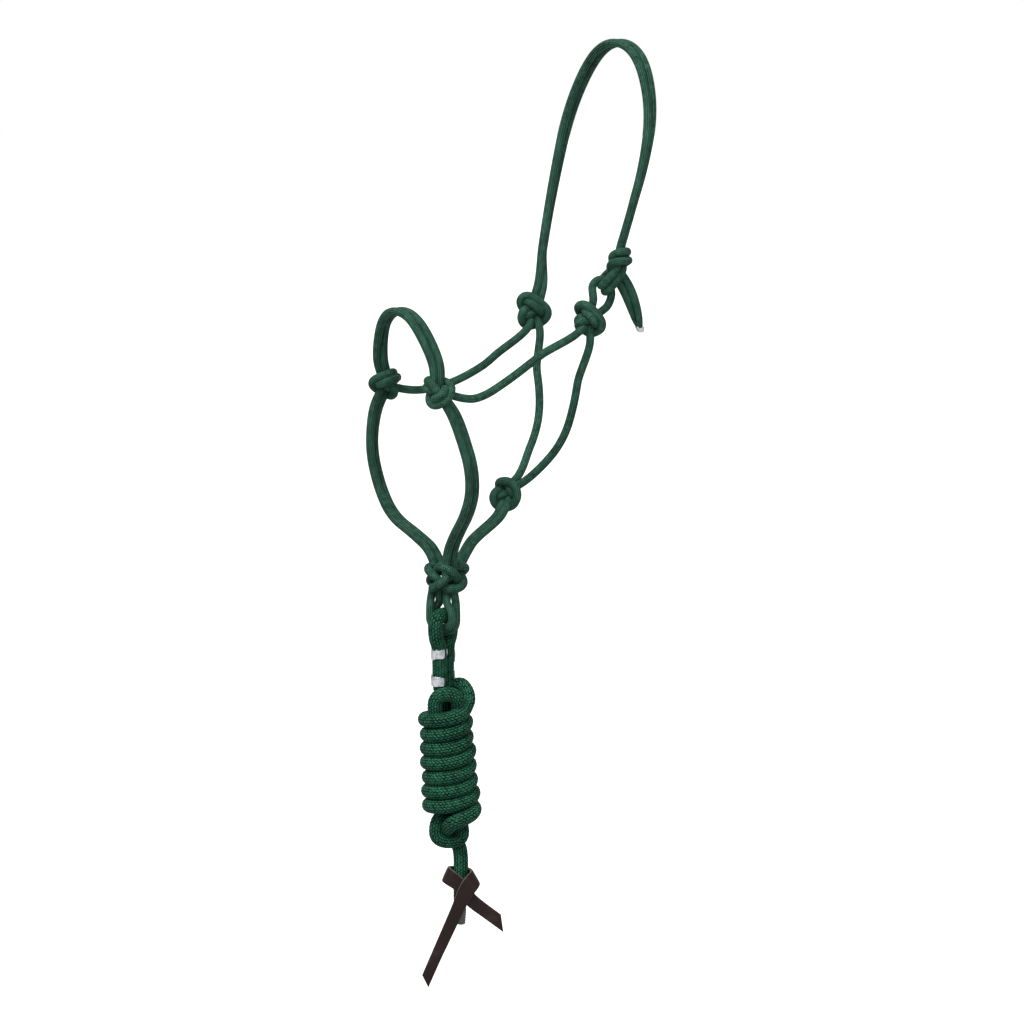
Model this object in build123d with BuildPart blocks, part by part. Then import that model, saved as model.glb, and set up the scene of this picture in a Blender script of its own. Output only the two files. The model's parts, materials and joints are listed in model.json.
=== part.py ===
"""Rope halter for a horse, with its wound lead rope hanging from the chin knot.

The halter is held open as it sits on a head. Millimetres, +Z up, the nose points along -Y and the
horse's left side is +X. The origin is the underside of the crown, where it lies on the poll.
"""

import math
import os

from build123d import *

# Ropes
HALTER_ROPE = 8.0  # diameter of the halter's braided rope
LEAD_ROPE = 14.0  # diameter of the lead rope
PAIR_STEP = 4.2  # from the middle of a doubled rope to each of its two strands
NOSE_STEP = 4.7  # the same where the doubled rope runs over the nose
RUNNING_GAP = 0.3  # air left between two bodies that move on each other

# Knots of the halter: where each one sits, and how large it is pulled tight
LEFT_CHEEK = (50, -62, -255)
RIGHT_CHEEK = (-50, -62, -249)
LEFT_NOSE = (55, -223, -316)
RIGHT_NOSE = (-55, -223, -316)
THROAT = (0, -121, -422)
FIADOR = (0, -186, -495.5)
CHEEK_KNOT_RADIUS = 15.0
NOSE_KNOT_RADIUS = 14.5
THROAT_KNOT_RADIUS = 14.0
KNOT_FLAT = 0.9  # a pulled knot is a ball flattened to this share of its height
FIADOR_SIZE = (43, 34, 28)
FIADOR_FILLET = 12.5

# The tie on the left cheek
TIE_TOP = (68, -37, -194)
TIE_WAIST = (66, -38, -206)
TIE_FOOT = (62, -54, -226)
TIE_RADIUS = 12.0
TIE_FOOT_RADIUS = 8.0
TAIL_HINGE = (66, -27, -214)
TAIL_TURN = 60  # the two tails lie side by side along this heading
TAIL_SWING = 30  # and swing this far both ways
FERRULE_LENGTH = 8.0

# The hanging lead: its axis, and the heading of the plane in which the halter's two loops hang
LEAD_X = 0
LEAD_Y = -190
LOOP_TURN = 33
VIEW_TURN = 60  # the wound rope and the leather strap are laid out facing this heading
LOOP_HINGE_Z = -513.8
EYE_TOP_Z = -531.5
FRONT_LOOP_FOOT_Z = -543.1
REAR_LOOP_FOOT_Z = -547.5
LOOP_HALF_WIDTH = 11.8
LOOP_STEP = 4.25  # each loop hangs this far before or behind the lead's axis
EYE_HALF_DEPTH = 15.7
LEG_STEP = 7.15  # the two legs of the eye, side by side in the crimps
EYE_RADIUS = 12.0  # of the two bends at its top
EYE_NECK_RADIUS = 12.0  # of the bends above the crimps

# Crimps
CRIMP_HEIGHT = 11.4
CRIMP_WALL = 1.3
UPPER_CRIMP_Z = -571.6
LOWER_CRIMP_Z = -595.0

# The wound lead rope: (height, middle along the view, half width, half depth)
HANK_TOP_Z = -601.0
HANK_SECTIONS = [
    (HANK_TOP_Z, 1.0, 15.5, 17.5),
    (-608.0, 3.0, 22.5, 21.0),
    (-618.0, 3.0, 26.5, 25.5),
    (-712.0, 8.5, 28.0, 25.5),
    (-729.0, 9.0, 25.0, 22.0),
    (-741.0, 7.0, 20.5, 15.0),
    (-753.0, 6.0, 11.0, 9.0),
]
TAIL_ACROSS = 16.3  # the free end hangs this far to the side of the lead's axis
TAIL_BACK = -2.0
TAIL_TOP_Z = -736.0
WHIPPING_TOP_Z = -806.0
WHIPPING_RADIUS = 5.4
LEAD_FOOT_Z = -828.0

# The leather popper
STRAP_WIDTH = 11.3
STRAP_THICKNESS = 2.6
STRAP_RING_RADIUS = 10.2
STRAP_RING_TOP_Z = -778.0
STRAP_FACE = 8.2  # how far before the rope's middle the crossing lies


def bend_radii(points):
    """The largest radius that the two runs at each corner allow."""
    corners = [Vector(*p) for p in points]
    radii = []
    for before, here, after in zip(corners, corners[1:], corners[2:]):
        arriving = here - before
        leaving = after - here
        half_turn = math.radians(arriving.get_angle(leaving)) / 2
        shorter = min(arriving.length, leaving.length)
        radii.append(0.45 * shorter / math.tan(half_turn))
    return radii


def rope_run(points, diameter, radii=None, meets=()):
    """One round rope through the points, ending on the faces of the solids that it meets."""
    radii = radii or bend_radii(points)
    with BuildPart() as run:
        with BuildLine() as route:
            FilletPolyline(*points, radius=radii)
        with BuildSketch(Plane(origin=route.line @ 0, z_dir=route.line % 0)):
            Circle(diameter / 2)
        sweep()
        for solid in meets:
            add(solid, mode=Mode.SUBTRACT)
    return run, route.wire().length


def spread(points, turns, step):
    """Two routes, each one step to a side of a middle route; a turn is the side's heading."""
    middle = [Vector(*point) for point in points]
    ahead = middle[1:] + middle[-1:]
    behind = middle[:1] + middle[:-1]
    front, rear = [], []
    for here, after, before, turn in zip(middle, ahead, behind, turns):
        side = Vector(math.cos(math.radians(turn)), math.sin(math.radians(turn)), 0)
        run = (after - before).normalized()
        side = (side - run * side.dot(run)).normalized() * step
        front.append(here - side)
        rear.append(here + side)
    return front, rear


def ball(centre, radius):
    """A plain ball: the space that a strand turning on its knot needs."""
    with BuildPart() as space:
        with Locations(centre):
            Sphere(radius)
    return space.part


def pulled_knot(centre, radius):
    """A knot pulled tight: a ball with its top and foot pressed flat."""
    with BuildPart() as knot:
        with Locations(centre):
            Sphere(radius)
            Box(2 * radius, 2 * radius, 2 * KNOT_FLAT * radius, mode=Mode.INTERSECT)
    return knot


def hanging(across, before, z, turn):
    """A point of the hanging lead: across the heading, before it, and its height."""
    angle = math.radians(turn)
    x = LEAD_X + across * math.cos(angle) + before * math.sin(angle)
    y = LEAD_Y + across * math.sin(angle) - before * math.cos(angle)
    return (x, y, z)


def hanging_plane(across, before, z, turn):
    """A level plane on the hanging lead, its x along the heading and its y pointing back."""
    angle = math.radians(turn)
    heading = (math.cos(angle), math.sin(angle), 0)
    return Plane(origin=hanging(across, before, z, turn), x_dir=heading, z_dir=(0, 0, 1))


def upright_plane(across, before, z, turn):
    """An upright plane on the hanging lead, facing forwards, its x along the heading."""
    angle = math.radians(turn)
    heading = (math.cos(angle), math.sin(angle), 0)
    facing = (math.sin(angle), -math.cos(angle), 0)
    return Plane(origin=hanging(across, before, z, turn), x_dir=heading, z_dir=facing)


os.makedirs("parts", exist_ok=True)
pieces = {}


def keep(name, built):
    """Label a finished piece and list it for export."""
    built.part.label = name
    pieces[name] = built.part


def keep_run(name, points, diameter, radii=None, meets=()):
    """Make a rope run, keep it, and print what its bends and its volume say."""
    run, length = rope_run(points, diameter, radii, meets)
    keep(name, run)
    whole = math.pi * diameter**2 / 4 * length
    smallest = min(radii or bend_radii(points))
    share = run.part.volume / whole
    print(f"{name}: {length:.0f} mm, least radius {smallest:.0f}, {share:.2f} of section x length")


# ---- Knots of the halter ----
left_cheek_knot = pulled_knot(LEFT_CHEEK, CHEEK_KNOT_RADIUS)
keep("left_cheek_knot", left_cheek_knot)
right_cheek_knot = pulled_knot(RIGHT_CHEEK, CHEEK_KNOT_RADIUS)
keep("right_cheek_knot", right_cheek_knot)
throat_knot = pulled_knot(THROAT, THROAT_KNOT_RADIUS)
keep("throat_knot", throat_knot)

with BuildPart() as left_nose_knot:
    with Locations(LEFT_NOSE):
        Sphere(NOSE_KNOT_RADIUS)
keep("left_nose_knot", left_nose_knot)

with BuildPart() as right_nose_knot:
    with Locations(RIGHT_NOSE):
        Sphere(NOSE_KNOT_RADIUS)
keep("right_nose_knot", right_nose_knot)

# The four strands of the two lead loops leave the fiador knot in one row
LOOP_TOPS = (-12.6, -4.2, 4.2, 12.6)
SOCKET = HALTER_ROPE / 2 + RUNNING_GAP

with BuildPart() as fiador_knot:
    with Locations(Plane(origin=FIADOR, x_dir=hanging_plane(0, 0, 0, LOOP_TURN).x_dir)):
        Box(*FIADOR_SIZE)
    fillet(fiador_knot.edges(), FIADOR_FILLET)
    for across in LOOP_TOPS:
        with Locations(hanging(across, 0, LOOP_HINGE_Z, LOOP_TURN)):
            Sphere(SOCKET, mode=Mode.SUBTRACT)
keep("fiador_knot", fiador_knot)

# The tie: the crown's doubled end through the cheek loop, round it and under itself
TAILS = [TAIL_HINGE, (66, -22, -231), (66, -17.5, -247), (66, -14.5, -258)]
tail_front, tail_rear = spread(TAILS, [TAIL_TURN] * 4, PAIR_STEP)
tail_side = hanging_plane(0, 0, 0, TAIL_TURN).x_dir
tail_front[0] = Vector(*TAIL_HINGE) - tail_side * PAIR_STEP
tail_rear[0] = Vector(*TAIL_HINGE) + tail_side * PAIR_STEP
tail_tops = [tail_front[0], tail_rear[0]]
TAIL_ROOM = 22  # the tie is cut back this far along a swinging tail

with BuildPart() as tie_knot:
    with Locations(TIE_TOP, TIE_WAIST):
        Sphere(TIE_RADIUS)
    with Locations(TIE_FOOT):
        Sphere(TIE_FOOT_RADIUS)
    slope = Vector(*TIE_FOOT) - Vector(*TIE_WAIST)
    with BuildSketch(Plane(origin=TIE_WAIST, z_dir=slope)):
        Circle(TIE_FOOT_RADIUS)
    extrude(amount=slope.length)
    swing_axis = Axis((0, 0, 0), tail_side)
    for top, below in zip(tail_tops, (tail_front[1], tail_rear[1])):
        with Locations(top):
            Sphere(SOCKET, mode=Mode.SUBTRACT)
        for swing in range(-TAIL_SWING, TAIL_SWING + 1, TAIL_SWING // 2):
            with BuildSketch(Plane(origin=top, z_dir=(below - top).rotate(swing_axis, swing))):
                Circle(SOCKET)
            extrude(amount=TAIL_ROOM, mode=Mode.SUBTRACT)
keep("tie_knot", tie_knot)

# ---- Crown: one doubled rope from the right cheek knot over the poll to the tie ----
CROWN = [
    RIGHT_CHEEK,
    (-65, -43, -187),
    (-80, -22, -127),
    (-77, -9, -66),
    (-52, -2, -19),
    (-20, 0, HALTER_ROPE / 2),
    (20, 0, HALTER_ROPE / 2),
    (51, -1, -17),
    (76, -8, -62),
    (81, -20, -112),
    (75, -32, -158),
    TIE_TOP,
]
CROWN_TURNS = [142, 140, 128, 110, 95, 90, 90, 95, 115, 135, 145, 150]
crown_ends = [right_cheek_knot.part, tie_knot.part]
crown_front, crown_rear = spread(CROWN, CROWN_TURNS, PAIR_STEP)
keep_run("crown_front_strand", crown_front, HALTER_ROPE, meets=crown_ends)
keep_run("crown_rear_strand", crown_rear, HALTER_ROPE, meets=crown_ends)

# ---- Loop of the left cheek knot, round the tie ----
tie_ends = [left_cheek_knot.part, tie_knot.part]
FRONT_LEG = [(52, -68, -250), (57, -72, -238), (59, -68, -222), (63, -53, -208)]
keep_run("tie_loop_front_leg", FRONT_LEG, HALTER_ROPE, meets=tie_ends)
REAR_LEG = [(53, -55, -250), (58, -45, -242), (62, -41, -229), (65, -41, -212)]
tail_spaces = [ball(top, SOCKET) for top in tail_tops]
keep_run("tie_loop_rear_leg", REAR_LEG, HALTER_ROPE, meets=tie_ends + tail_spaces)

# ---- Tails of the crown below the tie, joined by a ferrule ----
FERRULE_TOP = (66, -14.5, -256)
FERRULE_FOOT = (66.5, -13, -264)
with BuildPart() as tail_ferrule:
    heading = Vector(*FERRULE_FOOT) - Vector(*FERRULE_TOP)
    side = (math.cos(math.radians(TAIL_TURN)), math.sin(math.radians(TAIL_TURN)), 0)
    with BuildSketch(Plane(origin=FERRULE_TOP, x_dir=side, z_dir=heading)):
        SlotOverall(2 * PAIR_STEP + HALTER_ROPE, HALTER_ROPE)
    extrude(amount=FERRULE_LENGTH, taper=18)
keep("tail_ferrule", tail_ferrule)


def tail_strand(points):
    """A tail with a ball end that turns in the tie knot's socket."""
    run, _ = rope_run(points, HALTER_ROPE, meets=[tail_ferrule.part])
    with BuildPart() as strand:
        add(run.part)
        with Locations(points[0]):
            Sphere(HALTER_ROPE / 2)
    return strand


keep("crown_tail_front", tail_strand(tail_front))
keep("crown_tail_rear", tail_strand(tail_rear))

# ---- Cheeks ----
LEFT_CHEEK_ROUTE = [
    LEFT_NOSE, (54, -202, -323.5), (53, -180, -325), (52, -146, -307), (51, -110, -284), LEFT_CHEEK,
]
left_cheek_ends = [left_nose_knot.part, left_cheek_knot.part]
keep_run("left_cheek_strand", LEFT_CHEEK_ROUTE, HALTER_ROPE, meets=left_cheek_ends)
RIGHT_CHEEK_ROUTE = [
    RIGHT_NOSE, (-53, -203, -323), (-54, -172, -323), (-54, -138, -314), (-52, -98, -292),
    RIGHT_CHEEK,
]
right_cheek_ends = [right_nose_knot.part, right_cheek_knot.part]
keep_run("right_cheek_strand", RIGHT_CHEEK_ROUTE, HALTER_ROPE, meets=right_cheek_ends)

# The cut end of the halter's rope stands out of the right nose knot
STUB = [(-52, -215, -311), (-48, -207, -307.5), (-43, -200, -306)]
keep_run("rope_end_stub", STUB, HALTER_ROPE, meets=[right_nose_knot.part])

# ---- Throat ----
LEFT_THROAT_ROUTE = [
    LEFT_CHEEK, (49, -69, -290), (44, -72, -332), (32, -78, -371), (15, -99, -402), THROAT,
]
left_throat_ends = [left_cheek_knot.part, throat_knot.part]
keep_run("left_throat_strand", LEFT_THROAT_ROUTE, HALTER_ROPE, meets=left_throat_ends)
RIGHT_THROAT_ROUTE = [
    RIGHT_CHEEK, (-49, -63, -288), (-42, -59, -334), (-29, -71, -366), (-13, -98, -398), THROAT,
]
right_throat_ends = [right_cheek_knot.part, throat_knot.part]
keep_run("right_throat_strand", RIGHT_THROAT_ROUTE, HALTER_ROPE, meets=right_throat_ends)

THROAT_DROP = [THROAT, (0, -140, -443), (0, -159, -461), (0, -176, -490)]
drop_ends = [throat_knot.part, fiador_knot.part]
right_drop, left_drop = spread(THROAT_DROP, [0] * 4, PAIR_STEP)
keep_run("left_throat_drop", left_drop, HALTER_ROPE, meets=drop_ends)
keep_run("right_throat_drop", right_drop, HALTER_ROPE, meets=drop_ends)

# ---- Chin: a doubled rope from each nose knot down to the fiador knot ----
LEFT_CHIN = [
    LEFT_NOSE, (66, -214, -344), (75, -204, -374), (76, -200, -405), (60, -197, -430),
    (30, -193, -454), (10, -189, -474), (8, -188, -494),
]
LEFT_CHIN_TURNS = [105, 107, 108, 108, 108, 105, 100, 95]
left_chin_ends = [left_nose_knot.part, fiador_knot.part]
left_chin_front, left_chin_rear = spread(LEFT_CHIN, LEFT_CHIN_TURNS, PAIR_STEP)
keep_run("left_chin_front_strand", left_chin_front, HALTER_ROPE, meets=left_chin_ends)
keep_run("left_chin_rear_strand", left_chin_rear, HALTER_ROPE, meets=left_chin_ends)

RIGHT_CHIN = [
    RIGHT_NOSE, (-66, -228, -346), (-77, -225, -380), (-77, -216, -416), (-62, -210, -443),
    (-34, -200, -458), (-12, -191, -474), (-8, -189, -494),
]
RIGHT_CHIN_TURNS = [120, 122, 122, 118, 112, 105, 95, 90]
right_chin_ends = [right_nose_knot.part, fiador_knot.part]
right_chin_front, right_chin_rear = spread(RIGHT_CHIN, RIGHT_CHIN_TURNS, PAIR_STEP)
keep_run("right_chin_front_strand", right_chin_front, HALTER_ROPE, meets=right_chin_ends)
keep_run("right_chin_rear_strand", right_chin_rear, HALTER_ROPE, meets=right_chin_ends)

# ---- Noseband: a doubled arch that folds about the line through the two nose knots ----
NOSEBAND = [
    RIGHT_NOSE, (-54, -227, -291), (-43, -232, -262), (-16, -236, -244), (16, -234, -245),
    (42, -231, -266), (54, -227, -294), LEFT_NOSE,
]
NOSEBAND_TURNS = [130, 124, 112, 90, 88, 74, 62, 60]
nose_spaces = [
    ball(LEFT_NOSE, NOSE_KNOT_RADIUS + RUNNING_GAP),
    ball(RIGHT_NOSE, NOSE_KNOT_RADIUS + RUNNING_GAP),
]
noseband_front, noseband_rear = spread(NOSEBAND, NOSEBAND_TURNS, NOSE_STEP)
keep_run("noseband_front_strand", noseband_front, HALTER_ROPE, meets=nose_spaces)
keep_run("noseband_rear_strand", noseband_rear, HALTER_ROPE, meets=nose_spaces)


# ---- Loops under the fiador knot, which carry the lead ----
def lead_loop(side, foot_z):
    """A hanging loop with ball ends that swing under the fiador knot.

    The front loop has side 1 and the rear one, the other way round, side -1. The strand that
    starts near the middle steps clear of the other loop before it widens round the eye.
    """
    route = [
        (-LOOP_TOPS[3], 0, LOOP_HINGE_Z),
        (-LOOP_HALF_WIDTH, LOOP_STEP, LOOP_HINGE_Z - 9.5),
        (-LOOP_HALF_WIDTH, LOOP_STEP, foot_z),
        (LOOP_HALF_WIDTH, LOOP_STEP, foot_z),
        (LOOP_HALF_WIDTH, LOOP_STEP, LOOP_HINGE_Z - 13.7),
        (LOOP_TOPS[2] + 1.4, LOOP_STEP, LOOP_HINGE_Z - 5.8),
        (LOOP_TOPS[2], 0, LOOP_HINGE_Z),
    ]
    points = [hanging(side * across, side * y, z, LOOP_TURN) for across, y, z in route]
    foot_radius = LOOP_HALF_WIDTH - 0.1
    run, _ = rope_run(points, HALTER_ROPE, [10, foot_radius, foot_radius, 5, 5])
    with BuildPart() as loop:
        add(run.part)
        with Locations(points[0], points[-1]):
            Sphere(HALTER_ROPE / 2)
    return loop


keep("front_lead_loop", lead_loop(1, FRONT_LOOP_FOOT_Z))
keep("rear_lead_loop", lead_loop(-1, REAR_LOOP_FOOT_Z))

# ---- Lead rope: the wound part ----
with BuildPart() as lead_hank:
    for z, across, half_width, half_depth in HANK_SECTIONS:
        with BuildSketch(hanging_plane(across, 0, z, VIEW_TURN)):
            Ellipse(half_width, half_depth)
    loft(ruled=True)
keep("lead_hank", lead_hank)

# ---- Lead rope: the eye through the two loops, and its short end back through the crimps ----
EYE = [
    (0, -LEG_STEP, HANK_TOP_Z),
    (0, -LEG_STEP, -561.5),
    (0, -EYE_HALF_DEPTH, -551),
    (0, -EYE_HALF_DEPTH, EYE_TOP_Z),
    (0, EYE_HALF_DEPTH, EYE_TOP_Z),
    (0, EYE_HALF_DEPTH, -551),
    (0, LEG_STEP, -561.5),
    (0, LEG_STEP, HANK_TOP_Z),
]
eye_points = [hanging(across, before, z, LOOP_TURN) for across, before, z in EYE]
neck = [EYE_NECK_RADIUS] * 2
EYE_RADII = neck + [EYE_RADIUS] * 2 + neck
keep_run("lead_eye", eye_points, LEAD_ROPE, EYE_RADII)


def crimp(middle_z):
    """A metal strip bent round both legs, its ends left apart along the rear leg's side."""
    oval_length = 2 * LEG_STEP + LEAD_ROPE
    with BuildPart() as band:
        with BuildSketch(hanging_plane(0, 0, middle_z - CRIMP_HEIGHT / 2, LOOP_TURN)):
            SlotOverall(
                oval_length + 2 * CRIMP_WALL, LEAD_ROPE + 2 * CRIMP_WALL, rotation=90
            )
            SlotOverall(oval_length, LEAD_ROPE, rotation=90, mode=Mode.SUBTRACT)
        extrude(amount=CRIMP_HEIGHT)
        with BuildSketch(hanging_plane(0, 0, middle_z - CRIMP_HEIGHT, LOOP_TURN)):
            with Locations((LEAD_ROPE, LEG_STEP)):
                Rectangle(LEAD_ROPE, LEAD_ROPE * 0.8)
        extrude(amount=2 * CRIMP_HEIGHT, mode=Mode.SUBTRACT)
    return band


keep("upper_crimp", crimp(UPPER_CRIMP_Z))
keep("lower_crimp", crimp(LOWER_CRIMP_Z))

# ---- Lead rope: the free end below the wound part ----
LEAD_TAIL = [
    (TAIL_ACROSS - 3, TAIL_BACK, TAIL_TOP_Z),
    (TAIL_ACROSS, TAIL_BACK, TAIL_TOP_Z - 34),
    (TAIL_ACROSS, TAIL_BACK, WHIPPING_TOP_Z),
]
tail_points = [hanging(across, before, z, VIEW_TURN) for across, before, z in LEAD_TAIL]
keep_run("lead_tail", tail_points, LEAD_ROPE, meets=[lead_hank.part])

with BuildPart() as lead_end_whipping:
    with BuildSketch(hanging_plane(TAIL_ACROSS, TAIL_BACK, LEAD_FOOT_Z, VIEW_TURN)):
        Circle(WHIPPING_RADIUS)
    extrude(amount=WHIPPING_TOP_Z - LEAD_FOOT_Z)
    fillet(lead_end_whipping.edges().sort_by(Axis.Z)[0], 1.2)
keep("lead_end_whipping", lead_end_whipping)

# ---- Leather popper: a strap round the rope, one leg through a slit in the other ----
LONG_LEG = [(-7, -14), (3, -22), (-27.5, -111), (-39, -97)]
SHORT_LEG = [(-3, -13), (5, -9), (34.5, -42), (37.5, -57), (-2, -27)]

with BuildPart() as popper_strap:
    ring_foot_z = STRAP_RING_TOP_Z - STRAP_WIDTH
    with BuildSketch(hanging_plane(TAIL_ACROSS, TAIL_BACK, ring_foot_z, VIEW_TURN)):
        Ellipse(STRAP_RING_RADIUS + 3.5, STRAP_RING_RADIUS)
        Circle(LEAD_ROPE / 2 + RUNNING_GAP, mode=Mode.SUBTRACT)
    extrude(amount=STRAP_WIDTH)
    face_middle = TAIL_BACK + STRAP_FACE
    with BuildSketch(upright_plane(TAIL_ACROSS, face_middle, STRAP_RING_TOP_Z, VIEW_TURN)):
        with BuildLine():
            Polyline(*LONG_LEG, close=True)
        make_face()
    extrude(amount=STRAP_THICKNESS)
    with BuildSketch(upright_plane(TAIL_ACROSS, face_middle, STRAP_RING_TOP_Z, VIEW_TURN)):
        with BuildLine():
            Polyline(*SHORT_LEG, close=True)
        make_face()
    extrude(amount=STRAP_THICKNESS)
    with BuildSketch(upright_plane(TAIL_ACROSS, face_middle, STRAP_RING_TOP_Z, VIEW_TURN)):
        with Locations((-1, -12)):
            Rectangle(STRAP_WIDTH, STRAP_WIDTH + 10)
    extrude(amount=STRAP_THICKNESS)
keep("popper_strap", popper_strap)

for name, solid in pieces.items():
    export_step(solid, f"parts/{name}.step")
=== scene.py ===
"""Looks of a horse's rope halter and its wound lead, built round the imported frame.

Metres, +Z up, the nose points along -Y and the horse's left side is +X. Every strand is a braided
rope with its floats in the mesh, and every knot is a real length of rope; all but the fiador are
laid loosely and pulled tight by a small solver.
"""

import json
import math

import bmesh
import bpy
import numpy as np
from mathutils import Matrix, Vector


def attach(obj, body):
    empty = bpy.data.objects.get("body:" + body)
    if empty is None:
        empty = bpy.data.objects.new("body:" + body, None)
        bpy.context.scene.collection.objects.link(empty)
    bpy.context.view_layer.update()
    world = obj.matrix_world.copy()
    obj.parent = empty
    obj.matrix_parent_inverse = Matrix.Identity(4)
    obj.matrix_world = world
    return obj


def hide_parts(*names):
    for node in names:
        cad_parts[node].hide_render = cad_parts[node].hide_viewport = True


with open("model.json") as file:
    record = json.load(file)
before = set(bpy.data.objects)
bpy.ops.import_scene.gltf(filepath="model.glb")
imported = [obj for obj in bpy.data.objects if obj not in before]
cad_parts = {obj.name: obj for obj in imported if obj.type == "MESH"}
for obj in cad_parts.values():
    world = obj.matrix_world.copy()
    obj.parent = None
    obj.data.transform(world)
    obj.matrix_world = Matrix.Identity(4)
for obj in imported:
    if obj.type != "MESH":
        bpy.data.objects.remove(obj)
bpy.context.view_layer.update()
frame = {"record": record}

# Ropes
HALTER_ROPE = 0.008
LEAD_FULL = 0.0143  # over the crests of its braid
PAIR_STEP = 0.0040  # each strand of a pair lies this far to a side of their middle
HALTER_BRAID = {"carriers": 24, "pick": 0.0018, "sides": 48, "step": 0.00055, "relief": 0.00042}
END_DOME = 0.35  # a cut end is domed over this share of the rope's diameter
LEAD_BRAID = {"carriers": 32, "pick": 0.0030, "sides": 64, "step": 0.00125, "relief": 0.00070}

# Knots of the halter, as in the frame
LEFT_CHEEK = (0.050, -0.062, -0.255)
RIGHT_CHEEK = (-0.050, -0.062, -0.249)
LEFT_NOSE = (0.055, -0.223, -0.316)
RIGHT_NOSE = (-0.055, -0.223, -0.316)
THROAT = (0.0, -0.121, -0.422)
FIADOR = (0.0, -0.186, -0.4955)
TIE_TOP = (0.068, -0.037, -0.194)

# The hanging lead: its axis, and the headings of the loops' plane and of the wound rope
LEAD_X = 0.0
LEAD_Y = -0.190
LOOP_TURN = 33
VIEW_TURN = 60


# ---- Lines ----
def hanging(across, before, z, turn=VIEW_TURN):
    """A point of the hanging lead: across the heading, before it, and its height."""
    angle = math.radians(turn)
    x = LEAD_X + across * math.cos(angle) + before * math.sin(angle)
    y = LEAD_Y + across * math.sin(angle) - before * math.cos(angle)
    return (x, y, z)


def smooth_line(points):
    """The smooth line that has these control points, as a curve with no bevel gives it."""
    curve = bpy.data.curves.new("route", "CURVE")
    curve.dimensions = "3D"
    curve.resolution_u = 24
    spline = curve.splines.new("NURBS")
    spline.points.add(len(points) - 1)
    for control, place in zip(spline.points, points):
        control.co = (*place, 1.0)
    spline.order_u = 3
    spline.use_endpoint_u = True
    holder = bpy.data.objects.new("route", curve)
    mesh = bpy.data.meshes.new_from_object(holder)
    line = np.array([v.co for v in mesh.vertices], float)
    bpy.data.meshes.remove(mesh)
    bpy.data.objects.remove(holder)
    bpy.data.curves.remove(curve)
    return line


def along_of(line):
    """The distance of each point from the line's start, measured along it."""
    return np.concatenate([[0.0], np.cumsum(np.linalg.norm(np.diff(line, axis=0), axis=1))])


def even(line, step):
    """The same line with its points about one step apart."""
    along = along_of(line)
    at = np.linspace(0, along[-1], max(3, round(along[-1] / step) + 1))
    return np.stack([np.interp(at, along, line[:, k]) for k in range(3)], axis=1)


def softened(line, passes):
    """The line with small wiggles ironed out, its ends in place."""
    line = line.copy()
    for _ in range(passes):
        line[1:-1] += 0.25 * (line[:-2] - 2 * line[1:-1] + line[2:])
    return line


def spread(points, turns, step):
    """Two routes, each one step to a side of a middle route; a turn is the side's heading."""
    middle = [Vector(p) for p in points]
    ahead = middle[1:] + middle[-1:]
    behind = middle[:1] + middle[:-1]
    front, rear = [], []
    for here, after, before, turn in zip(middle, ahead, behind, turns):
        side = Vector((math.cos(math.radians(turn)), math.sin(math.radians(turn)), 0))
        run = (after - before).normalized()
        side = (side - run * side.dot(run)).normalized() * step
        front.append(tuple(here - side))
        rear.append(tuple(here + side))
    return front, rear


def carried_sides(line):
    """Tangents and two cross directions along a line, carried without twist."""
    tangents = np.gradient(line, axis=0)
    tangents /= np.linalg.norm(tangents, axis=1)[:, None]
    start = np.cross(tangents[0], (0.31, 0.74, 0.6))
    side = start / np.linalg.norm(start)
    sides = np.empty_like(line)
    for i, tangent in enumerate(tangents):
        side = side - tangent * side.dot(tangent)
        side = side / np.linalg.norm(side)
        sides[i] = side
    return tangents, sides, np.cross(tangents, sides)


# ---- Braided rope ----
def braid_floats(turn, along, carriers, pick):
    """How far the braid stands out, from 0 in its gaps to 1 on the crest of a float.

    Half of the carriers run one way round and half the other way, over two and under two, so
    that the floats stand in columns that slant left and right by turns.
    """
    one = turn * carriers / 2 + along / pick
    other = turn * carriers / 2 - along / pick
    phase = np.mod(np.floor(one) + np.floor(other), 4)
    one, other = np.mod(one, 1), np.mod(other, 1)
    on_top = phase < 2
    across = np.where(on_top, one, other)
    run = np.where(on_top, phase + other, phase - 2 + one) / 2
    crest = np.sin(np.pi * across) ** 0.6
    return crest * (0.25 + 0.75 * np.sin(np.pi * run) ** 0.8)


def rope_rings(line, diameter, braid, rounded=(False, False), taper=None):
    """Rings of points along a braided rope, how high its floats stand, and the way along it.

    rounded says which ends are domed, and taper gives the radius share along the rope, from 0 to 1.
    """
    line = even(line, braid["step"])
    along = along_of(line)
    _, side, other = carried_sides(line)
    turn = np.arange(braid["sides"]) / braid["sides"]
    height = braid_floats(turn[None, :], along[:, None], braid["carriers"], braid["pick"])
    share = np.ones(len(line)) if taper is None else taper(along / along[-1])
    for to_end, wanted in zip((along, along[-1] - along), rounded):
        if wanted:
            inside = np.clip(to_end / (END_DOME * diameter), 0, 1)
            share = share * np.sqrt(np.maximum(0.03, 1 - (1 - inside) ** 2))
    reach = share[:, None] * (diameter / 2 - braid["relief"] * (1 - height))
    angle = 2 * np.pi * turn
    round_it = np.cos(angle)[None, :, None] * side[:, None] + np.sin(angle)[None, :, None] * other[:, None]
    return line[:, None] + reach[:, :, None] * round_it, height, along


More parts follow.
